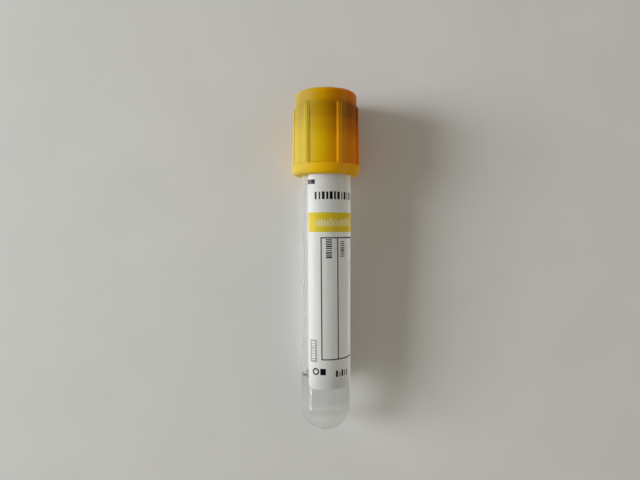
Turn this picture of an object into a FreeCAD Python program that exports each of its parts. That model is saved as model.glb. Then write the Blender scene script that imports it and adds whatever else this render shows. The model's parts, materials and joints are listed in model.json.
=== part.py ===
import FreeCAD, Part
import math
import os

# Evacuated blood collection tube of the 13 x 75 mm class, with a ribbed safety cap.
# Everything is turned upright about +Z, with the rounded tip of the tube at zero, and
# then laid down along +Y as it rests on a flat surface: on its tip and on the cap's rim.
# Lengths are millimetres, "station" is a height above the tip, and an angle around the
# tube is counted in degrees from the side that faces up at rest, towards +X.

# Tube: injection moulded clear plastic, straight outside, with draft in the bore.
TUBE_LENGTH = 75.0
TUBE_RADIUS = 6.05
BORE_RADIUS_AT_MOUTH = 5.25
BORE_RADIUS_AT_FLOOR = 5.05
TIP_WALL = 1.1
MOUTH_ROUNDING = 0.3

# Separator gel, dispensed into the rounded end with the tube upright.
GEL_LEVEL = 14.4
GEL_EDGE_ROUNDING = 0.5
GEL_GAP = 0.02

# Label: one film wrapped round the tube, with a clear window strip left open.
LABEL_LOW_STATION = 11.65
LABEL_HEIGHT = 52.0
LABEL_THICKNESS = 0.1
LABEL_GAP = 0.02
LABEL_FIRST_EDGE = -44.0
LABEL_WINDOW_ANGLE = 92.5
LABEL_CORNER_RADIUS = 1.2

# Cap shell: thin translucent moulding with six grip ribs that run down into a rim band.
CAP_HEIGHT = 20.35
CAP_RIM_STATION = 63.5
BAND_RADIUS = 8.4
BAND_HEIGHT = 2.6
BAND_LOW_ROUNDING = 1.4
BAND_TOP_ROUNDING = 0.28
BODY_RADIUS_AT_BAND = 7.76
BODY_RADIUS_AT_TOP = 7.62
BODY_ROOT_ROUNDING = 0.2
SHOULDER_ROUNDING = 1.0
SKIRT_RADIUS_AT_RIM = 6.7
SKIRT_RADIUS_AT_BEAD = 6.7
SKIRT_EDGE_ROUNDING = 0.2
BEAD_RADIUS = 6.5
BEAD_HEIGHT = 0.8
BEAD_RAMP_HEIGHT = 0.8
TOP_PLATE_THICKNESS = 1.3
WELL_RADIUS = 4.0
WELL_EDGE_ROUNDING = 0.35
WELL_COLLAR_WALL = 1.1
INNER_ROUNDING = 0.3

# Grip ribs of the cap shell.
RIB_COUNT = 6
RIB_FIRST_ANGLE = -37.0
RIB_WIDTH = 1.25
RIB_ROOT_RADIUS = 7.3
RIB_RADIUS_AT_BAND = 8.33
RIB_RADIUS_AT_TOP = 8.12
RIB_OVERLAP_INTO_BAND = 0.6
RIB_TOP_STATION = 80.75
RIB_TOP_SLOPE_HEIGHT = 0.65
RIB_CREST_ROUNDING = 0.3

# Rubber stopper: a flange on the tube's mouth and a hollow plug inside the bore.
FLANGE_THICKNESS = 5.4
FLANGE_RADIUS = 6.75
FLANGE_ROUNDING = 0.3
PLUG_CLEARANCE = 0.04
PLUG_DEPTH = 6.8
PLUG_ROUNDING = 0.9
PLUG_RECESS_RADIUS = 2.8
PLUG_RECESS_DEPTH = 6.0
PLUG_RECESS_ROUNDING = 1.2
DISH_RADIUS = 2.6
DISH_DEPTH = 1.2
DISH_ROUNDING = 0.5
SEAT_ROUNDING = 0.4

# Stations that follow from the sizes above.
CAP_TOP_STATION = CAP_RIM_STATION + CAP_HEIGHT
BAND_TOP_STATION = CAP_RIM_STATION + BAND_HEIGHT
FLANGE_LOW_STATION = TUBE_LENGTH
FLANGE_TOP_STATION = FLANGE_LOW_STATION + FLANGE_THICKNESS
BORE_DRAFT = (BORE_RADIUS_AT_MOUTH - BORE_RADIUS_AT_FLOOR) / (TUBE_LENGTH - TIP_WALL)
# A ball that meets the drafted wall and the floor on the axis has this radius per bore radius.
BALL_PER_BORE = math.tan((math.pi / 2 + math.atan(BORE_DRAFT)) / 2)

UP = FreeCAD.Vector(0, 0, 1)
ORIGIN = FreeCAD.Vector(0, 0, 0)
SHORTEST_EDGE = 1e-6


def bore_radius(station):
    """Radius of the drafted bore at a station."""
    return BORE_RADIUS_AT_FLOOR + BORE_DRAFT * (station - TIP_WALL)


def rounded_wire(corners):
    """Closed wire in the XZ plane through (radius, station, rounding) corners."""
    points = [FreeCAD.Vector(radius, 0, station) for radius, station, _ in corners]
    roundings = [rounding for _, _, rounding in corners]
    starts, ends, arcs = [], [], []
    for index, point in enumerate(points):
        towards_last = (points[index - 1] - point).normalize()
        towards_next = (points[(index + 1) % len(points)] - point).normalize()
        half_angle = towards_last.getAngle(towards_next) / 2
        rounding = roundings[index]
        cut = rounding / math.tan(half_angle)
        start = point + towards_last * cut
        end = point + towards_next * cut
        starts.append(start)
        ends.append(end)
        if rounding > 0:
            inward = (towards_last + towards_next).normalize()
            middle = point + inward * (rounding / math.sin(half_angle) - rounding)
            arcs.append(Part.Arc(start, middle, end).toShape())
        else:
            arcs.append(None)
    edges = []
    for index, arc in enumerate(arcs):
        run_start = ends[index - 1]
        run_end = starts[index]
        if run_start.distanceToPoint(run_end) > SHORTEST_EDGE:
            edges.append(Part.makeLine(run_start, run_end))
        if arc is not None:
            edges.append(arc)
    return Part.Wire(edges)


def turned(corners, sweep=360):
    """Solid of revolution about +Z from a rounded outline, starting on +X."""
    return Part.Face(rounded_wire(corners)).revolve(ORIGIN, UP, sweep)


def azimuth(angle):
    """Turn an angle counted from the side that faces up into one counted from +X."""
    return angle - 90


def make_tube():
    """Straight tube with a hemispherical tip and an open, softly rounded mouth."""
    return turned([
        (0, 0, 0),
        (TUBE_RADIUS, 0, TUBE_RADIUS),
        (TUBE_RADIUS, TUBE_LENGTH, MOUTH_ROUNDING),
        (BORE_RADIUS_AT_MOUTH, TUBE_LENGTH, MOUTH_ROUNDING),
        (BORE_RADIUS_AT_FLOOR, TIP_WALL, BORE_RADIUS_AT_FLOOR * BALL_PER_BORE),
        (0, TIP_WALL, 0),
    ])


def make_separator_gel():
    """Gel that fills the rounded end of the bore up to its level."""
    floor_station = TIP_WALL + GEL_GAP
    floor_radius = bore_radius(floor_station) - GEL_GAP
    return turned([
        (0, floor_station, 0),
        (floor_radius, floor_station, floor_radius * BALL_PER_BORE),
        (bore_radius(GEL_LEVEL) - GEL_GAP, GEL_LEVEL, GEL_EDGE_ROUNDING),
        (0, GEL_LEVEL, 0),
    ])


def label_corner_waste(along, up, station):
    """What is cut off at one corner of the label, for a film edge that lies on +X.

    The film runs from that edge towards +Y or -Y (along is 1 or -1) and from its end at
    the station upwards or downwards (up is 1 or -1).
    """
    reach = TUBE_RADIUS - LABEL_CORNER_RADIUS
    centre = FreeCAD.Vector(reach, along * LABEL_CORNER_RADIUS, station + up * LABEL_CORNER_RADIUS)
    diagonal = FreeCAD.Vector(0, -along, -up).normalize() * LABEL_CORNER_RADIUS
    on_end = FreeCAD.Vector(reach, centre.y, station)
    on_edge = FreeCAD.Vector(reach, 0, centre.z)
    beyond_edge = FreeCAD.Vector(reach, -along * LABEL_THICKNESS, centre.z)
    beyond_corner = FreeCAD.Vector(reach, beyond_edge.y, station - up * LABEL_THICKNESS)
    beyond_end = FreeCAD.Vector(reach, centre.y, beyond_corner.z)
    outline = Part.Wire([
        Part.Arc(on_end, centre + diagonal, on_edge).toShape(),
        Part.makeLine(on_edge, beyond_edge),
        Part.makeLine(beyond_edge, beyond_corner),
        Part.makeLine(beyond_corner, beyond_end),
        Part.makeLine(beyond_end, on_end),
    ])
    return Part.Face(outline).extrude(FreeCAD.Vector(TUBE_RADIUS, 0, 0))


def make_label():
    """Film sector round the tube, with its four corners rounded."""
    inner_radius = TUBE_RADIUS + LABEL_GAP
    outer_radius = inner_radius + LABEL_THICKNESS
    top_station = LABEL_LOW_STATION + LABEL_HEIGHT
    sweep = 360 - LABEL_WINDOW_ANGLE
    film = turned([
        (inner_radius, LABEL_LOW_STATION, 0),
        (outer_radius, LABEL_LOW_STATION, 0),
        (outer_radius, top_station, 0),
        (inner_radius, top_station, 0),
    ], sweep)
    wastes = []
    for edge_angle, along in ((0, 1), (sweep, -1)):
        for station, up in ((LABEL_LOW_STATION, 1), (top_station, -1)):
            waste = label_corner_waste(along, up, station)
            waste.rotate(ORIGIN, UP, edge_angle)
            wastes.append(waste)
    film = film.cut(wastes)
    film.rotate(ORIGIN, UP, azimuth(LABEL_FIRST_EDGE))
    return film


def make_rib():
    """One grip rib on +X, rounded along its crest and sloped off at its top end."""
    slope_start = RIB_TOP_STATION - RIB_TOP_SLOPE_HEIGHT
    low_station = BAND_TOP_STATION - RIB_OVERLAP_INTO_BAND
    outline = rounded_wire([
        (RIB_ROOT_RADIUS, low_station, 0),
        (RIB_RADIUS_AT_BAND, low_station, 0),
        (RIB_RADIUS_AT_TOP, slope_start, 0),
        (BODY_RADIUS_AT_TOP, RIB_TOP_STATION, 0),
        (RIB_ROOT_RADIUS, RIB_TOP_STATION, 0),
    ])
    rib = Part.Face(outline).extrude(FreeCAD.Vector(0, RIB_WIDTH, 0))
    rib.translate(FreeCAD.Vector(0, -RIB_WIDTH / 2, 0))
    crest_edges = [
        edge for edge in rib.Edges
        if edge.BoundBox.YLength < SHORTEST_EDGE
        and edge.BoundBox.ZLength > SHORTEST_EDGE
        and edge.BoundBox.XMin > RIB_ROOT_RADIUS + SHORTEST_EDGE
    ]
    return rib.makeFillet(RIB_CREST_ROUNDING, crest_edges)


def make_cap_shell():
    """Turned shell with a needle well in its top, a bead under the flange, and ribs."""
    collar_radius = WELL_RADIUS + WELL_COLLAR_WALL
    plate_underside = CAP_TOP_STATION - TOP_PLATE_THICKNESS
    bead_low_station = FLANGE_LOW_STATION - BEAD_HEIGHT
    shell = turned([
        (SKIRT_RADIUS_AT_RIM, CAP_RIM_STATION, SKIRT_EDGE_ROUNDING),
        (BAND_RADIUS, CAP_RIM_STATION, BAND_LOW_ROUNDING),
        (BAND_RADIUS, BAND_TOP_STATION, BAND_TOP_ROUNDING),
        (BODY_RADIUS_AT_BAND, BAND_TOP_STATION, BODY_ROOT_ROUNDING),
        (BODY_RADIUS_AT_TOP, CAP_TOP_STATION, SHOULDER_ROUNDING),
        (WELL_RADIUS, CAP_TOP_STATION, WELL_EDGE_ROUNDING),
        (WELL_RADIUS, FLANGE_TOP_STATION, 0),
        (collar_radius, FLANGE_TOP_STATION, 0),
        (collar_radius, plate_underside, INNER_ROUNDING),
        (FLANGE_RADIUS, plate_underside, INNER_ROUNDING),
        (FLANGE_RADIUS, FLANGE_LOW_STATION, 0),
        (BEAD_RADIUS, FLANGE_LOW_STATION, 0),
        (BEAD_RADIUS, bead_low_station, INNER_ROUNDING),
        (SKIRT_RADIUS_AT_BEAD, bead_low_station - BEAD_RAMP_HEIGHT, INNER_ROUNDING),
    ])
    ribs = []
    for index in range(RIB_COUNT):
        rib = make_rib()
        rib.rotate(ORIGIN, UP, azimuth(RIB_FIRST_ANGLE + index * 360 / RIB_COUNT))
        ribs.append(rib)
    return shell.fuse(ribs).removeSplitter()


def make_rubber_stopper():
    """Flanged plug with a dish for the needle on top and a deep recess underneath."""
    plug_low_station = FLANGE_LOW_STATION - PLUG_DEPTH
    plug_radius = bore_radius(plug_low_station) - PLUG_CLEARANCE
    recess_top_station = plug_low_station + PLUG_RECESS_DEPTH
    dish_station = FLANGE_TOP_STATION - DISH_DEPTH
    return turned([
        (0, recess_top_station, 0),
        (PLUG_RECESS_RADIUS, recess_top_station, PLUG_RECESS_ROUNDING),
        (PLUG_RECESS_RADIUS, plug_low_station, SEAT_ROUNDING),
        (plug_radius, plug_low_station, PLUG_ROUNDING),
        (plug_radius, FLANGE_LOW_STATION, 0),
        (FLANGE_RADIUS, FLANGE_LOW_STATION, 0),
        (FLANGE_RADIUS, FLANGE_TOP_STATION, FLANGE_ROUNDING),
        (DISH_RADIUS, FLANGE_TOP_STATION, SEAT_ROUNDING),
        (DISH_RADIUS, dish_station, DISH_ROUNDING),
        (0, dish_station, 0),
    ])


def resting_placement():
    """Lay the upright part along +Y, touching the floor with its tip and the cap's rim.

    In a lengthwise section the floor is the tangent under two circles: the tube's tip and
    the lower rounding of the rim band. The origin is under the middle of the part.
    """
    rim_circle_station = CAP_RIM_STATION + BAND_LOW_ROUNDING
    rim_circle_offset = BAND_RADIUS - BAND_LOW_ROUNDING
    run = rim_circle_station - TUBE_RADIUS
    spacing = math.hypot(run, rim_circle_offset)
    tilt = math.atan2(rim_circle_offset, run) - math.asin((TUBE_RADIUS - BAND_LOW_ROUNDING) / spacing)
    shoulder_station = CAP_TOP_STATION - SHOULDER_ROUNDING
    shoulder_offset = BODY_RADIUS_AT_TOP - SHOULDER_ROUNDING
    far_reach = (shoulder_station * math.cos(tilt) + shoulder_offset * math.sin(tilt)
                 + SHOULDER_ROUNDING)
    near_reach = TUBE_RADIUS * math.cos(tilt) - TUBE_RADIUS
    shift = FreeCAD.Vector(
        0, -(far_reach + near_reach) / 2, TUBE_RADIUS - TUBE_RADIUS * math.sin(tilt))
    turn = FreeCAD.Rotation(FreeCAD.Vector(1, 0, 0), math.degrees(tilt) - 90)
    return FreeCAD.Placement(shift, turn)


def main():
    nodes = {
        "tube": make_tube(),
        "separator_gel": make_separator_gel(),
        "label": make_label(),
        "cap_shell": make_cap_shell(),
        "rubber_stopper": make_rubber_stopper(),
    }
    placement = resting_placement()
    os.makedirs("parts", exist_ok=True)
    for name, shape in nodes.items():
        rested = shape.transformed(placement.toMatrix(), copy=True)
        rested.exportStep(f"parts/{name}.step")


main()
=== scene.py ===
import json
import bpy
import numpy as np
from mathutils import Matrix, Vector


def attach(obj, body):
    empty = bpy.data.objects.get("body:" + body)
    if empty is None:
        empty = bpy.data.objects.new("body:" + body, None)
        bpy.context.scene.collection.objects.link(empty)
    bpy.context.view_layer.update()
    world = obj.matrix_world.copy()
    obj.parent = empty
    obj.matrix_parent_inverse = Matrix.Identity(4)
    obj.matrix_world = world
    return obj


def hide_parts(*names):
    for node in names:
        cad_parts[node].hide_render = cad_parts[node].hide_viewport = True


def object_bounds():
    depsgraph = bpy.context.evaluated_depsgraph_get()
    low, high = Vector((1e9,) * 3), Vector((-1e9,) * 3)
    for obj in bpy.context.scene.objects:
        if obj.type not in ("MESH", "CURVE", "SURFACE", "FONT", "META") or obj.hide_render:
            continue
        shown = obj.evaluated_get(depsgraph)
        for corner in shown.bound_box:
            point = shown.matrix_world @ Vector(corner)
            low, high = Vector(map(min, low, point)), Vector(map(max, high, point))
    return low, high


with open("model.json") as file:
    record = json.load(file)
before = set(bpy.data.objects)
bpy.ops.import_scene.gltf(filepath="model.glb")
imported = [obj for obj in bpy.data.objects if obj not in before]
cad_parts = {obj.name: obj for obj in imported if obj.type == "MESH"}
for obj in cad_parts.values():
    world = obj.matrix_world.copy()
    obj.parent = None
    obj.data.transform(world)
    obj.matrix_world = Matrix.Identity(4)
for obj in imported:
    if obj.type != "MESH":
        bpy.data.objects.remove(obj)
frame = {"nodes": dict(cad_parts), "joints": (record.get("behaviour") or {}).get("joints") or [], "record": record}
cadBox = [list(corner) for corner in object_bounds()]
mm = 0.001

# A station is a height above the rounded tip along the tube's axis, and an angle is
# counted round that axis in degrees, from the side that faces up at rest towards +X.
# Sizes are millimetres, but for those of the lamps.
axisWay = Vector(frame["joints"][0]["axis"]).normalized()
acrossWay = Vector((1.0, 0.0, 0.0))
upWay = acrossWay.cross(axisWay)
needleWell = next(m for m in frame["record"]["mounts"] if m["name"] == "needle_well")
wellStation = 81.95  # where the well's place lies along the axis
tipPoint = Vector(needleWell["pos_m"]) - axisWay * wellStation * mm


def placed(radius, angle, station):
    # point = tip + axis * station + (across * sin(angle) + up * cos(angle)) * radius
    radius, angle, station = np.broadcast_arrays(radius, angle, station)
    turn = np.radians(angle)
    sideways = (radius * np.sin(turn))[..., None] * np.array(acrossWay)
    upwards = (radius * np.cos(turn))[..., None] * np.array(upWay)
    along = station[..., None] * np.array(axisWay)
    return np.array(tipPoint) + (sideways + upwards + along) * mm


def meshPiece(name, points, faces):
    mesh = bpy.data.meshes.new(name)
    mesh.from_pydata(points.reshape(-1, 3).tolist(), [], faces)
    mesh.polygons.foreach_set("use_smooth", [True] * len(mesh.polygons))
    mesh.update()
    piece = bpy.data.objects.new(name, mesh)
    bpy.context.scene.collection.objects.link(piece)
    return piece


def gridFaces(rows, columns, start=0, flip=False, wrap=False):
    # quads between neighbours of a grid whose points count start + row * columns + column
    index = start + np.arange(rows * columns).reshape(rows, columns)
    if wrap:
        index = np.concatenate([index, index[:, :1]], axis=1)
    corners = [index[:-1, :-1], index[:-1, 1:], index[1:, 1:], index[1:, :-1]]
    if flip:
        corners.reverse()
    return np.stack(corners, axis=-1).reshape(-1, 4).tolist()


# Node helpers, each of which adds to the tree it is given.

def addNode(tree, kind, inputs=None, **settings):
    node = tree.nodes.new(kind)
    for name, value in settings.items():
        setattr(node, name, value)
    for key, value in (inputs or {}).items():
        if isinstance(value, bpy.types.NodeSocket):
            tree.links.new(value, node.inputs[key])
        else:
            node.inputs[key].default_value = value
    return node


def calc(tree, operation, *terms):
    return addNode(tree, "ShaderNodeMath", dict(enumerate(terms)), operation=operation).outputs[0]


def vectorMath(tree, operation, *terms):
    return addNode(tree, "ShaderNodeVectorMath", dict(enumerate(terms)), operation=operation).outputs


def opposite(tree, mask):
    return calc(tree, "SUBTRACT", 1.0, mask)


def mixColour(tree, factor, first, second, blend="MIX"):
    sockets = {0: factor, 6: first, 7: second}
    return addNode(tree, "ShaderNodeMix", sockets, data_type="RGBA", blend_type=blend).outputs[2]


def stepAt(tree, value, edge, softness):
    # 0 below the edge and 1 above it, turning over the softness
    return addNode(tree, "ShaderNodeMapRange", {
        "Value": value, "From Min": edge - softness / 2, "From Max": edge + softness / 2},
        interpolation_type="SMOOTHSTEP").outputs[0]


def newMaterial(name, surface):
    material = bpy.data.materials.new(name)
    material.use_nodes = True
    shader = material.node_tree.nodes["Principled BSDF"]
    for socket, value in surface.items():
        shader.inputs[socket].default_value = value
    return material, material.node_tree, shader


numberSocket = "NodeSocketFloat"
vectorSocket = "NodeSocketVector"


def newGroup(name, inputs, outputs):
    group = bpy.data.node_groups.new(name, "ShaderNodeTree")
    for label, kind in inputs:
        group.interface.new_socket(label, in_out="INPUT", socket_type=kind)
    for label, kind in outputs:
        group.interface.new_socket(label, in_out="OUTPUT", socket_type=kind)
    return group, group.nodes.new("NodeGroupInput").outputs, group.nodes.new("NodeGroupOutput").inputs


def makeMouldedGrain():
    # soft waves of a moulded or coated surface, with a share of finer specks added
    group, given, made = newGroup(
        "mouldedGrain",
        [("Place", vectorSocket), ("Wave Size", numberSocket), ("Speck Size", numberSocket),
         ("Speck Share", numberSocket)],
        [("Height", numberSocket), ("Specks", numberSocket)])
    waves = addNode(group, "ShaderNodeTexNoise", {
        "Vector": given["Place"], "Scale": calc(group, "DIVIDE", 1.0, given["Wave Size"]), "Detail": 2.0})
    specks = addNode(group, "ShaderNodeTexNoise", {
        "Vector": given["Place"], "Scale": calc(group, "DIVIDE", 1.0, given["Speck Size"]), "Detail": 3.0})
    speckPart = calc(group, "MULTIPLY", specks.outputs[0], given["Speck Share"])
    group.links.new(calc(group, "ADD", waves.outputs[0], speckPart), made["Height"])
    group.links.new(specks.outputs[0], made["Specks"])
    return group


mouldedGrain = makeMouldedGrain()


def grainOn(tree, shader, sizes):
    # bumps of the grain on the shader, and the group's outputs for more uses
    place = addNode(tree, "ShaderNodeTexCoord").outputs["Object"]
    grain = addNode(tree, "ShaderNodeGroup", node_tree=mouldedGrain)
    grain.inputs["Wave Size"].default_value = sizes["wave"] * mm
    grain.inputs["Speck Size"].default_value = sizes["speck"] * mm
    grain.inputs["Speck Share"].default_value = sizes["speckShare"]
    tree.links.new(place, grain.inputs["Place"])
    bump = addNode(tree, "ShaderNodeBump", {
        "Height": grain.outputs["Height"], "Strength": 1.0, "Distance": sizes["depth"] * mm})
    tree.links.new(bump.outputs[0], shader.inputs["Normal"])
    return grain.outputs


def makeSpeckled(name, finish):
    # a plain finish that turns from its shade to its colour with the specks
    material, tree, shader = newMaterial(name, finish["surface"])
    grain = grainOn(tree, shader, finish["grain"])
    base = mixColour(tree, grain["Specks"], finish["shade"], finish["colour"])
    tree.links.new(base, shader.inputs["Base Color"])
    return material


def cylinderPlace(tree):
    # station = (object point - tip) . axis and radius = |object point - tip - axis * station|,
    # and the direction straight out from the axis
    place = addNode(tree, "ShaderNodeTexCoord").outputs["Object"]
    fromTip = vectorMath(tree, "SUBTRACT", place, tipPoint)[0]
    along = vectorMath(tree, "PROJECT", fromTip, axisWay)[0]
    out = vectorMath(tree, "SUBTRACT", fromTip, along)[0]
    height = vectorMath(tree, "DOT_PRODUCT", fromTip, axisWay)["Value"]
    away = vectorMath(tree, "LENGTH", out)["Value"]
    outward = vectorMath(tree, "NORMALIZE", out)[0]
    return calc(tree, "DIVIDE", height, mm), calc(tree, "DIVIDE", away, mm), outward


print("stage: camera, floor and light")

camera = {
    "place": (-1.45, 3.74, 128.37), "pitch": 0.854, "lens": 27.0, "sensor": 36.0, "sight": (5.0, 20000.0),
}


def addCamera(sizes):
    data = bpy.data.cameras.new("camera")
    data.lens = sizes["lens"]
    data.sensor_width = sizes["sensor"]
    data.clip_start, data.clip_end = np.array(sizes["sight"]) * mm
    piece = bpy.data.objects.new("camera", data)
    piece.location = Vector(sizes["place"]) * mm
    piece.rotation_euler = (np.radians(sizes["pitch"]), 0.0, 0.0)
    bpy.context.scene.collection.objects.link(piece)
    bpy.context.scene.camera = piece
    bpy.context.scene.view_settings.view_transform = "Standard"


addCamera(camera)

floorSheet = {
    "reach": 3000.0, "surface": {"Roughness": 0.75, "Specular IOR Level": 0.25},
    "grain": {"wave": 20.0, "speck": 1.2, "speckShare": 0.15, "depth": 0.04},
    "colour": (0.775, 0.775, 0.76, 1.0), "shade": (0.745, 0.745, 0.735, 1.0), "mottle": (0.35, 0.8),
}


def makeFloor(sizes):
    # a flat square at the lowest height of the part
    square = np.array([(-1, -1, 0), (1, -1, 0), (1, 1, 0), (-1, 1, 0)]) * sizes["reach"] * mm
    piece = meshPiece("floorSheet", square + (0, 0, cadBox[0][2]), [(0, 1, 2, 3)])
    material, tree, shader = newMaterial("palePaper", sizes["surface"])
    grain = grainOn(tree, shader, sizes["grain"])
    low, high = sizes["mottle"]
    mottle = addNode(tree, "ShaderNodeMapRange", {
        "Value": grain["Height"], "From Min": low, "From Max": high}).outputs[0]
    base = mixColour(tree, mottle, sizes["shade"], sizes["colour"])
    tree.links.new(base, shader.inputs["Base Color"])
    piece.data.materials.append(material)


makeFloor(floorSheet)

# Lamps face the origin from a place in metres; a beam is how wide the light fans, in degrees.
lamps = {
    "window": {"place": (-0.80, 0.06, 0.36), "size": (0.36, 0.34), "power": 0.80, "beam": 60.0,
               "colour": (0.93, 0.97, 1.0)},
    "windowEdge": {"place": (-0.60, 0.0, 0.10), "size": (0.6, 0.03), "power": 0.32, "beam": 120.0,
                   "colour": (0.95, 0.98, 1.0)},
    "farWall": {"place": (0.70, 0.0, 0.28), "size": (0.8, 0.5), "power": 0.19, "beam": 100.0,
                "colour": (1.0, 0.96, 0.88)},
}
windowWay = Vector(lamps["window"]["place"]).normalized()


def addLamp(name, lamp):
    data = bpy.data.lights.new(name, "AREA")
    data.shape = "RECTANGLE"
    data.size, data.size_y = lamp["size"]
    data.energy = lamp["power"]
    data.color = lamp["colour"]
    data.spread = np.radians(lamp["beam"])
    piece = bpy.data.objects.new(name, data)
    piece.location = lamp["place"]
    piece.rotation_euler = (-Vector(lamp["place"])).to_track_quat("-Z", "Y").to_euler()
    bpy.context.scene.collection.objects.link(piece)


for lampName, lamp in lamps.items():
    addLamp(lampName, lamp)

# The room's light, and the plain grey that the camera sees beyond the floor.
room = {"colour": (1.0, 0.915, 0.76, 1.0), "strength": 0.268, "seen": (0.50, 0.50, 0.485, 1.0)}


def makeRoom(sizes):
    world = bpy.data.worlds.new("studio")
    bpy.context.scene.world = world
    world.use_nodes = True
    tree = world.node_tree
    tree.nodes.clear()
    rays = addNode(tree, "ShaderNodeLightPath").outputs
    seenDirectly = calc(tree, "MAXIMUM", rays["Is Camera Ray"], rays["Is Transmission Ray"])
    light = addNode(tree, "ShaderNodeBackground", {
        "Color": sizes["colour"], "Strength": sizes["strength"]}).outputs[0]
    sight = addNode(tree, "ShaderNodeBackground", {"Color": sizes["seen"], "Strength": 1.0}).outputs[0]
    either = addNode(tree, "ShaderNodeMixShader", {0: seenDirectly, 1: light, 2: sight}).outputs[0]
    addNode(tree, "ShaderNodeOutputWorld", {"Surface": either})


makeRoom(room)


print("stage: clear tube")

clearPlastic = {
    "surface": {"Roughness": 0.02, "IOR": 1.57, "Transmission Weight": 0.94, "Specular IOR Level": 0.25},
    "grain": {"wave": 4.0, "speck": 0.6, "speckShare": 0.1, "depth": 0.0001},
    # the tip's lighter tint is painted light
    "tint": (0.99, 0.985, 0.97, 1.0), "paintedLightTipTint": (1.0, 0.995, 0.98, 1.0), "tipTo": 4.4, "tipSoftness": 1.2,
    "shadow": (0.93, 0.935, 0.93, 1.0), "tipShadow": (0.80, 0.80, 0.79, 1.0),
    "shadowTo": 3.2, "shadowSoftness": 0.9,
}


def makeClear(name, finish):
    # clear for sight, and lets straight light through, so that what lies inside is lit; up to a
    # station the rounded tip has a lighter tint, painted light that stands in for light the round end gathers, and
    # a shadow of its own
    material, tree, shader = newMaterial(name, finish["surface"])
    grainOn(tree, shader, finish["grain"])
    station = cylinderPlace(tree)[0]
    # painted light: the tint turns lighter towards the tip
    aboveTip = stepAt(tree, station, finish["tipTo"], finish["tipSoftness"])
    tint = mixColour(tree, aboveTip, finish["paintedLightTipTint"], finish["tint"])
    tree.links.new(tint, shader.inputs["Base Color"])
    straightWall = stepAt(tree, station, finish["shadowTo"], finish["shadowSoftness"])
    shadow = mixColour(tree, straightWall, finish["tipShadow"], finish["shadow"])
    letThrough = addNode(tree, "ShaderNodeBsdfTransparent", {"Color": shadow}).outputs[0]
    shadowRay = addNode(tree, "ShaderNodeLightPath").outputs["Is Shadow Ray"]
    either = addNode(tree, "ShaderNodeMixShader", {0: shadowRay, 1: shader.outputs[0], 2: letThrough})
    tree.links.new(either.outputs[0], tree.nodes["Material Output"].inputs["Surface"])
    return material


frame["nodes"]["tube"].data.materials[0] = makeClear("clearPlastic", clearPlastic)


print("stage: separator gel")

gel = {
    "level": 14.4, "wallRadius": 5.1, "floorStation": 1.05, "meniscus": 0.15, "meniscusWidth": 0.5,
    "columns": 96, "bowlRows": 24, "wallRows": 8, "topRows": 26, "topCrowding": 1.6,
    "surface": {"Roughness": 0.03, "IOR": 1.45, "Transmission Weight": 1.0, "Specular IOR Level": 0.3},
    "grain": {"wave": 4.0, "speck": 0.6, "speckShare": 0.1, "depth": 0.0003},
    # the tip's lighter tint is painted light
    "tint": (0.79, 0.80, 0.78, 1.0), "paintedLightTipTint": (0.97, 0.97, 0.955, 1.0), "tipTo": 5.0, "tipSoftness": 1.6,
    "shadow": (0.33, 0.33, 0.32, 1.0), "tipShadow": (0.60, 0.60, 0.59, 1.0),
    "shadowTo": 3.2, "shadowSoftness": 0.9,
}


def makeGel(sizes):
    # radius and station of the outline: a quarter circle up from the floor, the straight
    # wall, then level + meniscus * e^(-distance from the wall / width) in to the middle,
    # turned round the axis and closed with a pole at each end
    wall, low, level, columns = sizes["wallRadius"], sizes["floorStation"], sizes["level"], sizes["columns"]
    bend = np.radians(np.linspace(0, 90, sizes["bowlRows"] + 1))[1:]
    bowlRadius = wall * np.sin(bend)
    bowlStation = low + wall * (1 - np.cos(bend))
    wallStation = np.linspace(low + wall, level + sizes["meniscus"], sizes["wallRows"] + 1)[1:]
    fromWall = np.linspace(0, 1, sizes["topRows"] + 2)[1:-1] ** sizes["topCrowding"] * wall
    topStation = level + sizes["meniscus"] * np.exp(-fromWall / sizes["meniscusWidth"])
    radius = np.concatenate([bowlRadius, np.full(sizes["wallRows"], wall), wall - fromWall])
    station = np.concatenate([bowlStation, wallStation, topStation])
    angle = np.linspace(0, 360, columns, endpoint=False)
    rings = placed(radius[:, None], angle[None, :], station[:, None]).reshape(-1, 3)
    poles = placed(np.zeros(2), np.zeros(2), np.array([low, level]))
    faces = gridFaces(len(radius), columns, wrap=True)
    around = np.arange(columns)
    following = (around + 1) % columns
    lastRing = (len(radius) - 1) * columns
    lowPole = np.full(columns, len(rings))
    faces += np.stack([following, around, lowPole], axis=1).tolist()
    faces += np.stack([lastRing + around, lastRing + following, lowPole + 1], axis=1).tolist()
    return meshPiece("separatorGel", np.concatenate([rings, poles]), faces)


gelPiece = makeGel(gel)
gelPiece.data.materials.append(makeClear("settledGel", gel))
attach(gelPiece, "tube")
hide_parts("separator_gel")


print("stage: label")

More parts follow.
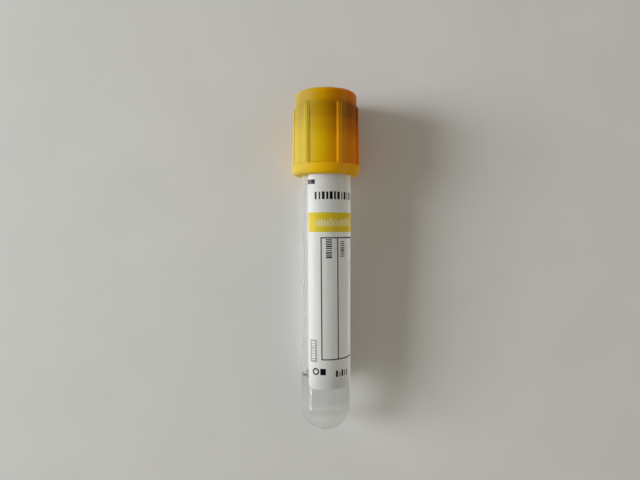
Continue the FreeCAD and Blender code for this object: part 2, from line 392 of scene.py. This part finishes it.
# The film is wound a little askew, and its long edges lift off the tube by a hair. The print
# is placed from the film's first lower corner: boxes are (middle along the arc, middle
# height, half width, half height, line), rings (middle along the arc, middle height, radius,
# line), and rows of bars (start along the reading way, start across it, bars, pitch, height,
# shortest, seed, read downwards). The faint boxes are printed in weak grey, with gaps.
solid = 50.0  # a line thicker than any box
label = {
    "low": 11.65, "height": 52.0, "firstEdge": -44.0, "sweep": 267.5, "radius": 6.17, "thickness": 0.1,
    "corner": 1.2, "skew": 3.7, "lift": 0.015, "liftReach": 0.5, "liftWave": 0.4, "liftWaveTurn": 0.9,
    "rows": 120, "cornerRows": 13, "columns": 160, "mapSpan": 64.0,
    "outside": {
        "surface": {"Roughness": 0.4, "Specular IOR Level": 0.1, "Subsurface Weight": 1.0,
                    "Subsurface Scale": 0.5 * mm, "Subsurface Radius": (1.0, 0.97, 0.9)},
        "grain": {"wave": 3.0, "speck": 0.25, "speckShare": 0.25, "depth": 0.006},
        "film": (0.86, 0.86, 0.825, 1.0), "shade": (0.83, 0.83, 0.795, 1.0),
        "band": (0.76, 0.525, 0.02, 1.0), "ink": (0.003, 0.003, 0.003, 1.0),
        "grey": (0.12, 0.12, 0.12, 1.0), "barsInBand": 0.5, "faintShare": 0.62,
    },
    "inside": {
        "surface": {"Roughness": 0.6, "Specular IOR Level": 0.3},
        "grain": {"wave": 3.0, "speck": 0.4, "speckShare": 0.3, "depth": 0.008},
        "shade": (0.70, 0.70, 0.68, 1.0), "colour": (0.76, 0.76, 0.74, 1.0),
    },
    "bandBoxes": [(14.2, 40.35, 14.0, 2.35, solid)],
    "bandBars": [(2.0, 39.35, 14, 0.72, 2.1, 0.6, 4.0, False)],
    "inkBoxes": [
        (1.67, 50.08, 0.48, 0.54, solid),
        (9.06, 21.97, 5.58, 14.8, 0.28),
        (7.72, 21.97, 0.14, 14.8, solid),
        (3.85, 4.35, 0.68, 0.78, solid),
        (20.9, 22.0, 4.6, 14.75, 0.28),
        (20.9, 29.4, 4.6, 0.14, solid),
        (20.9, 22.0, 4.6, 0.14, solid),
        (20.9, 14.6, 4.6, 0.14, solid),
    ],
    "inkRings": [(2.05, 4.35, 0.68, 0.34)],
    "inkBars": [
        (1.85, 45.85, 12, 0.95, 1.9, 0.9, 11.0, False),
        (-36.4, 4.75, 9, 0.52, 1.5, 0.95, 7.0, True),
        (-35.9, 8.5, 8, 0.5, 1.3, 0.95, 21.0, True),
        (6.9, 3.0, 5, 0.8, 1.9, 0.6, 17.0, False),
    ],
    "greyBoxes": [(0.62, 50.08, 0.6, 0.54, solid)],
    "faintBoxes": [(1.5, 9.3, 0.9, 2.7, solid)],
    "faintGaps": [(-11.7, 1.0, 8, 0.6, 1.0, 0.9, 31.0, True)],
}


def makeLabel(sizes):
    # a grid over (arc, height) wound on the tube; each row runs between the long edges,
    # drawn in by corner - sqrt(corner^2 - (corner - distance to the end)^2) near the ends,
    # and the lift is lift * e^(-distance to the edge / reach) * (1 - wave + wave * sin(height))
    corner, height = sizes["corner"], sizes["height"]
    ramp = corner * (1 - np.cos(np.radians(np.linspace(0, 90, sizes["cornerRows"]))))
    straight = np.linspace(corner, height - corner, sizes["rows"])[1:-1]
    rise = np.concatenate([ramp, straight, height - ramp[::-1]])
    near = np.minimum(np.minimum(rise, height - rise), corner)
    inset = corner - np.sqrt(np.maximum(corner ** 2 - (corner - near) ** 2, 0))
    degreePerArc = np.degrees(1 / sizes["radius"])
    width = sizes["sweep"] / degreePerArc
    share = np.linspace(0, 1, sizes["columns"])
    arc = inset[:, None] + share[None, :] * (width - 2 * inset[:, None])
    tallness = np.broadcast_to(rise[:, None], arc.shape)
    angle = sizes["firstEdge"] + arc * degreePerArc + (0.5 - tallness / height) * sizes["skew"]
    wave = 1 - sizes["liftWave"] + sizes["liftWave"] * np.sin(tallness * sizes["liftWaveTurn"])
    lift = sizes["lift"] * np.exp(-np.minimum(arc, width - arc) / sizes["liftReach"]) * wave
    station = sizes["low"] + tallness
    outer = placed(sizes["radius"] + lift, angle, station).reshape(-1, 3)
    inner = placed(sizes["radius"] - sizes["thickness"] + lift, angle, station).reshape(-1, 3)
    # faces: the printed outside, the inside, then the cut edge all round
    rows, columns = arc.shape
    size = rows * columns
    faces = gridFaces(rows, columns, flip=True) + gridFaces(rows, columns, start=size)
    index = np.arange(size).reshape(rows, columns)
    edge = np.concatenate([index[0], index[1:, -1], index[-1, -2::-1], index[-2:0:-1, 0]])
    following = np.roll(edge, -1)
    faces += np.stack([edge, following, following + size, edge + size], axis=1).tolist()
    piece = meshPiece("label", np.concatenate([outer, inner]), faces)
    # the map for the print is (arc, height) / span on both sides
    spots = np.tile(np.stack([arc, tallness], axis=-1).reshape(-1, 2) / sizes["mapSpan"], (2, 1))
    corners = np.zeros(len(piece.data.loops), dtype=np.int32)
    piece.data.loops.foreach_get("vertex_index", corners)
    piece.data.uv_layers.new(name="film").data.foreach_set("uv", spots[corners].ravel())
    sideCount = (rows - 1) * (columns - 1)
    slots = np.zeros(len(faces), dtype=np.int32)
    slots[sideCount:2 * sideCount] = 1
    piece.data.polygons.foreach_set("material_index", slots)
    return piece


labelPiece = makeLabel(label)

# How far ink fades at an edge, and how much of its cell half a bar takes up.
inkEdge = {"line": 0.04, "bar": 0.06, "halfBar": (0.16, 0.4)}


def makeBoxMark():
    # |distance to the box's border + line / 2| < line / 2, so that a thick line fills the box
    group, given, made = newGroup(
        "boxMark",
        [("Place", vectorSocket), ("Centre", vectorSocket), ("Half Size", vectorSocket),
         ("Line", numberSocket)],
        [("Mask", numberSocket)])
    offset = vectorMath(group, "SUBTRACT", given["Place"], given["Centre"])[0]
    spread = vectorMath(group, "ABSOLUTE", offset)[0]
    beyond = vectorMath(group, "SUBTRACT", spread, given["Half Size"])[0]
    parts = addNode(group, "ShaderNodeSeparateXYZ", {0: beyond}).outputs
    border = calc(group, "MAXIMUM", parts["X"], parts["Y"])
    halfLine = calc(group, "MULTIPLY", given["Line"], 0.5)
    fromMiddle = calc(group, "ABSOLUTE", calc(group, "ADD", border, halfLine))
    fromLine = calc(group, "SUBTRACT", fromMiddle, halfLine)
    group.links.new(opposite(group, stepAt(group, fromLine, 0.0, inkEdge["line"])), made["Mask"])
    return group


def makeRingMark():
    # |distance to the centre - radius| < line / 2
    group, given, made = newGroup(
        "ringMark",
        [("Place", vectorSocket), ("Centre", vectorSocket), ("Radius", numberSocket),
         ("Line", numberSocket)],
        [("Mask", numberSocket)])
    flat = vectorMath(group, "MULTIPLY", given["Place"], (1.0, 1.0, 0.0))[0]
    reach = vectorMath(group, "DISTANCE", flat, given["Centre"])["Value"]
    fromCircle = calc(group, "ABSOLUTE", calc(group, "SUBTRACT", reach, given["Radius"]))
    fromLine = calc(group, "SUBTRACT", fromCircle, calc(group, "MULTIPLY", given["Line"], 0.5))
    group.links.new(opposite(group, stepAt(group, fromLine, 0.0, inkEdge["line"])), made["Mask"])
    return group


def makeBarMarks():
    # a row of upright bars, one to a cell along X, whose widths and heights come from random
    # numbers of each cell; they stand in for lettering
    group, given, made = newGroup(
        "barMarks",
        [("Place", vectorSocket), ("Start", vectorSocket), ("Bars", numberSocket), ("Pitch", numberSocket),
         ("Height", numberSocket), ("Shortest", numberSocket), ("Seed", numberSocket)],
        [("Mask", numberSocket)])
    local = vectorMath(group, "SUBTRACT", given["Place"], given["Start"])[0]
    parts = addNode(group, "ShaderNodeSeparateXYZ", {0: local}).outputs
    cells = calc(group, "DIVIDE", parts["X"], given["Pitch"])
    cell = calc(group, "FLOOR", cells)
    fromMiddle = calc(group, "ABSOLUTE", calc(group, "SUBTRACT", calc(group, "SUBTRACT", cells, cell), 0.5))
    chance = addNode(group, "ShaderNodeTexWhiteNoise", {"W": calc(group, "ADD", cell, given["Seed"])},
                     noise_dimensions="1D")
    chances = addNode(group, "ShaderNodeSeparateColor", {0: chance.outputs["Color"]}).outputs
    thinnest, thickest = inkEdge["halfBar"]
    halfBar = addNode(group, "ShaderNodeMapRange", {
        "Value": chances["Red"], "To Min": thinnest, "To Max": thickest}).outputs[0]
    inBar = calc(group, "MULTIPLY", calc(group, "SUBTRACT", halfBar, fromMiddle), given["Pitch"])
    share = addNode(group, "ShaderNodeMapRange", {
        "Value": chances["Green"], "To Min": given["Shortest"]}).outputs[0]
    belowTop = calc(group, "SUBTRACT", calc(group, "MULTIPLY", share, given["Height"]), parts["Y"])
    mask = stepAt(group, inBar, 0.0, inkEdge["bar"])
    for limit in (stepAt(group, parts["Y"], 0.0, inkEdge["bar"]),
                  stepAt(group, belowTop, 0.0, inkEdge["bar"]),
                  calc(group, "GREATER_THAN", cells, 0.0),
                  calc(group, "LESS_THAN", cells, given["Bars"])):
        mask = calc(group, "MULTIPLY", mask, limit)
    group.links.new(mask, made["Mask"])
    return group


boxMark = makeBoxMark()
ringMark = makeRingMark()
barMarks = makeBarMarks()


def drawnMarks(tree, place, turnedPlace, boxes=(), rings=(), bars=()):
    # the greatest of all the marks' masks
    marks = [(boxMark, place, {"Centre": (x, y, 0.0), "Half Size": (halfX, halfY, 1.0), "Line": line})
             for x, y, halfX, halfY, line in boxes]
    marks += [(ringMark, place, {"Centre": (x, y, 0.0), "Radius": radius, "Line": line})
              for x, y, radius, line in rings]
    marks += [(barMarks, turnedPlace if downwards else place,
               {"Start": (x, y, 0.0), "Bars": amount, "Pitch": pitch, "Height": height,
                "Shortest": shortest, "Seed": seed})
              for x, y, amount, pitch, height, shortest, seed, downwards in bars]
    total = 0.0
    for group, spot, values in marks:
        node = addNode(tree, "ShaderNodeGroup", node_tree=group)
        tree.links.new(spot, node.inputs["Place"])
        for name, value in values.items():
            node.inputs[name].default_value = value
        total = calc(tree, "MAXIMUM", total, node.outputs[0])
    return total


def makePrintedFilm(printed):
    finish, span = printed["outside"], printed["mapSpan"]
    material, tree, shader = newMaterial("printedFilm", finish["surface"])
    grain = grainOn(tree, shader, finish["grain"])
    film = addNode(tree, "ShaderNodeUVMap", uv_map="film").outputs[0]
    place = vectorMath(tree, "MULTIPLY", film, (span, span, 0.0))[0]
    parts = addNode(tree, "ShaderNodeSeparateXYZ", {0: place}).outputs
    downwards = calc(tree, "MULTIPLY", parts["Y"], -1.0)
    turned = addNode(tree, "ShaderNodeCombineXYZ", {0: downwards, 1: parts["X"]}).outputs[0]
    band = drawnMarks(tree, place, turned, boxes=printed["bandBoxes"])
    paleBars = drawnMarks(tree, place, turned, bars=printed["bandBars"])
    grey = drawnMarks(tree, place, turned, boxes=printed["greyBoxes"])
    faint = drawnMarks(tree, place, turned, boxes=printed["faintBoxes"])
    gaps = drawnMarks(tree, place, turned, bars=printed["faintGaps"])
    ink = drawnMarks(tree, place, turned, boxes=printed["inkBoxes"], rings=printed["inkRings"],
                     bars=printed["inkBars"])
    band = calc(tree, "SUBTRACT", band, calc(tree, "MULTIPLY", paleBars, finish["barsInBand"]))
    faint = calc(tree, "MULTIPLY", calc(tree, "SUBTRACT", faint, gaps), finish["faintShare"])
    base = mixColour(tree, grain["Specks"], finish["shade"], finish["film"])
    for mask, ofInk in ((band, "band"), (grey, "grey"), (faint, "grey"), (ink, "ink")):
        base = mixColour(tree, mask, base, finish[ofInk])
    tree.links.new(base, shader.inputs["Base Color"])
    return material


labelPiece.data.materials.append(makePrintedFilm(label))
labelPiece.data.materials.append(makeSpeckled("filmBack", label["inside"]))
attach(labelPiece, "tube")
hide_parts("label")


print("stage: cap and stopper")

# The shell's colour is painted by how light falls on it. Painted light and shade make it a paler
# lemon yellow, with a little painted sheen, on the window's side and a deeper orange on the far
# side, standing in for light that passes through the translucent shell. Painted shade darkens it
# where the dark rubber inside blocks that light through the thin wall, towards the top, and in red
# on the ribs, and a painted glow and a brighter orange near the rim stand in for light that comes
# through. The painted side shades are (share of the way to the window's side, colour). A share is
# how strongly a colour shows, and a fade is how much less it shows on the window's side or on the ribs.
yellowPlastic = {
    "surface": {"Roughness": 0.45, "IOR": 1.5, "Specular IOR Level": 0.06, "Subsurface Weight": 1.0,
                "Subsurface Scale": 4.5 * mm, "Subsurface Radius": (0.85, 0.5, 0.08)},
    "grain": {"wave": 3.0, "speck": 0.3, "speckShare": 0.12, "depth": 0.01},
    # painted light and shade: paler, with painted sheen, on the window's side, deeper orange on the far side
    "paintedSideShades": [(0.0, (0.95, 0.21, 0.0003)), (0.2, (0.98, 0.30, 0.0004)), (0.46, (0.94, 0.38, 0.0005)),
              (0.64, (0.90, 0.45, 0.001)), (0.8, (0.77, 0.455, 0.004)), (1.0, (0.57, 0.415, 0.065))],
    "farSide": -0.35, "nearSide": 0.95,
    # a painted glow, standing in for light that comes through the shell
    "paintedGlow": (1.0, 0.82, 0.18, 1.0), "glowTo": -0.15, "glowSoftness": 0.4,
    # the rim's band: painted light, a brighter orange near the rim, less on the window's side
    "band": (0.99, 0.60, 0.02, 1.0), "rimLightShare": 0.5, "bandFade": 0.9,
    "bandTop": 66.0, "bandSoftness": 0.5,
    # painted shade on the ribs: their red is cut to offset the light their crests catch
    "paintedRibShade": (0.84, 1.0, 1.0, 1.0), "ribRadius": 7.9, "ribSoftness": 0.12,
    # painted shade where the rubber inside blocks light through the thin wall
    "paintedRubberShade": (0.38, 0.42, 0.40, 1.0), "rubberFade": 0.8, "rubberFadeOnRibs": 0.5,
    "flangeLow": 76.0, "flangeLowSoftness": 2.6, "flangeHigh": 80.7, "flangeHighSoftness": 1.6,
    "plugLow": 73.0, "plugSoftness": 4.5, "plugShare": 0.7,
    # painted shade, darker towards the top of the cap, where the rubber fills it
    "paintedTopShade": (0.77, 0.75, 0.9, 1.0), "topFrom": 76.5, "topSoftness": 9.0,
    "speckTint": 0.06,
}
stopperRubber = {
    "surface": {"Roughness": 0.62, "Specular IOR Level": 0.35},
    "grain": {"wave": 2.0, "speck": 0.2, "speckShare": 0.4, "depth": 0.02},
    "shade": (0.055, 0.058, 0.058, 1.0), "colour": (0.085, 0.088, 0.086, 1.0),
}


def tintRamp(tree, share, paintedSideShades):
    ramp = addNode(tree, "ShaderNodeValToRGB", {0: share})
    stops = ramp.color_ramp.elements
    while len(stops) < len(paintedSideShades):
        stops.new(0.5)
    for stop, (position, tint) in zip(stops, paintedSideShades):
        stop.position = position
        stop.color = (*tint, 1.0)
    return ramp.outputs[0]


def makeYellowPlastic(finish):
    material, tree, shader = newMaterial("yellowPlastic", finish["surface"])
    grain = grainOn(tree, shader, finish["grain"])
    station, radius, outward = cylinderPlace(tree)
    # painted light side: 0 round the far side of the axis, 1 on the window's side; it sets how the shell's colour
    # is painted for light and shade
    facing = vectorMath(tree, "DOT_PRODUCT", outward, windowWay)["Value"]
    paintedLightSide = addNode(tree, "ShaderNodeMapRange", {
        "Value": facing, "From Min": finish["farSide"], "From Max": finish["nearSide"]}).outputs[0]
    # painted glow: a pale yellow painted where a face on the window's side turns away from the window, standing in
    # for light that comes through
    normal = addNode(tree, "ShaderNodeNewGeometry").outputs["Normal"]
    lit = vectorMath(tree, "DOT_PRODUCT", normal, windowWay)["Value"]
    turnedAway = opposite(tree, stepAt(tree, lit, finish["glowTo"], finish["glowSoftness"]))
    paintedGlow = calc(tree, "MULTIPLY", turnedAway, paintedLightSide)
    # the rim's band, a brighter orange that shows most on the far side: painted light standing in for light that
    # comes through the shell there; and the ribs above it
    lowBand = opposite(tree, stepAt(tree, station, finish["bandTop"], finish["bandSoftness"]))
    rimLightShare = calc(tree, "MULTIPLY_ADD", paintedLightSide, -finish["bandFade"], 1.0)
    rimLightShare = calc(tree, "MULTIPLY", calc(tree, "MULTIPLY", rimLightShare, finish["rimLightShare"]), lowBand)
    # on the ribs the red is cut, painted shade that offsets the light their crests catch
    ribs = calc(tree, "SUBTRACT", stepAt(tree, radius, finish["ribRadius"], finish["ribSoftness"]), lowBand)
    # painted shade of the stopper inside, where it blocks light through the shell: its flange in full, its plug by
    # a share
    flange = stepAt(tree, station, finish["flangeLow"], finish["flangeLowSoftness"])
    plug = stepAt(tree, station, finish["plugLow"], finish["plugSoftness"])
    paintedRubberShade = calc(tree, "MAXIMUM", flange, calc(tree, "MULTIPLY", plug, finish["plugShare"]))
    belowTop = opposite(tree, stepAt(tree, station, finish["flangeHigh"], finish["flangeHighSoftness"]))
    fade = calc(tree, "MULTIPLY_ADD", paintedLightSide, -finish["rubberFade"], 1.0)
    fadeOnRibs = calc(tree, "MULTIPLY_ADD", ribs, -finish["rubberFadeOnRibs"], 1.0)
    for factor in (belowTop, fade, fadeOnRibs):
        paintedRubberShade = calc(tree, "MULTIPLY", paintedRubberShade, factor)
    # painted shade, darker towards the top, where the rubber fills the cap
    paintedTopShade = stepAt(tree, station, finish["topFrom"], finish["topSoftness"])
    # painted light and shade by side, with the rim's painted light over it
    base = mixColour(tree, rimLightShare, tintRamp(tree, paintedLightSide, finish["paintedSideShades"]), finish["band"])
    for mask, shade in ((paintedTopShade, "paintedTopShade"), (ribs, "paintedRibShade"), (paintedRubberShade, "paintedRubberShade")):
        base = mixColour(tree, mask, base, finish[shade], blend="MULTIPLY")
    # the painted glow
    base = mixColour(tree, paintedGlow, base, finish["paintedGlow"])
    tinted = calc(tree, "MULTIPLY", grain["Specks"], finish["speckTint"])
    base = mixColour(tree, tinted, base, finish["band"])
    tree.links.new(base, shader.inputs["Base Color"])
    return material


frame["nodes"]["cap_shell"].data.materials[0] = makeYellowPlastic(yellowPlastic)
frame["nodes"]["rubber_stopper"].data.materials[0] = makeSpeckled("stopperRubber", stopperRubber)
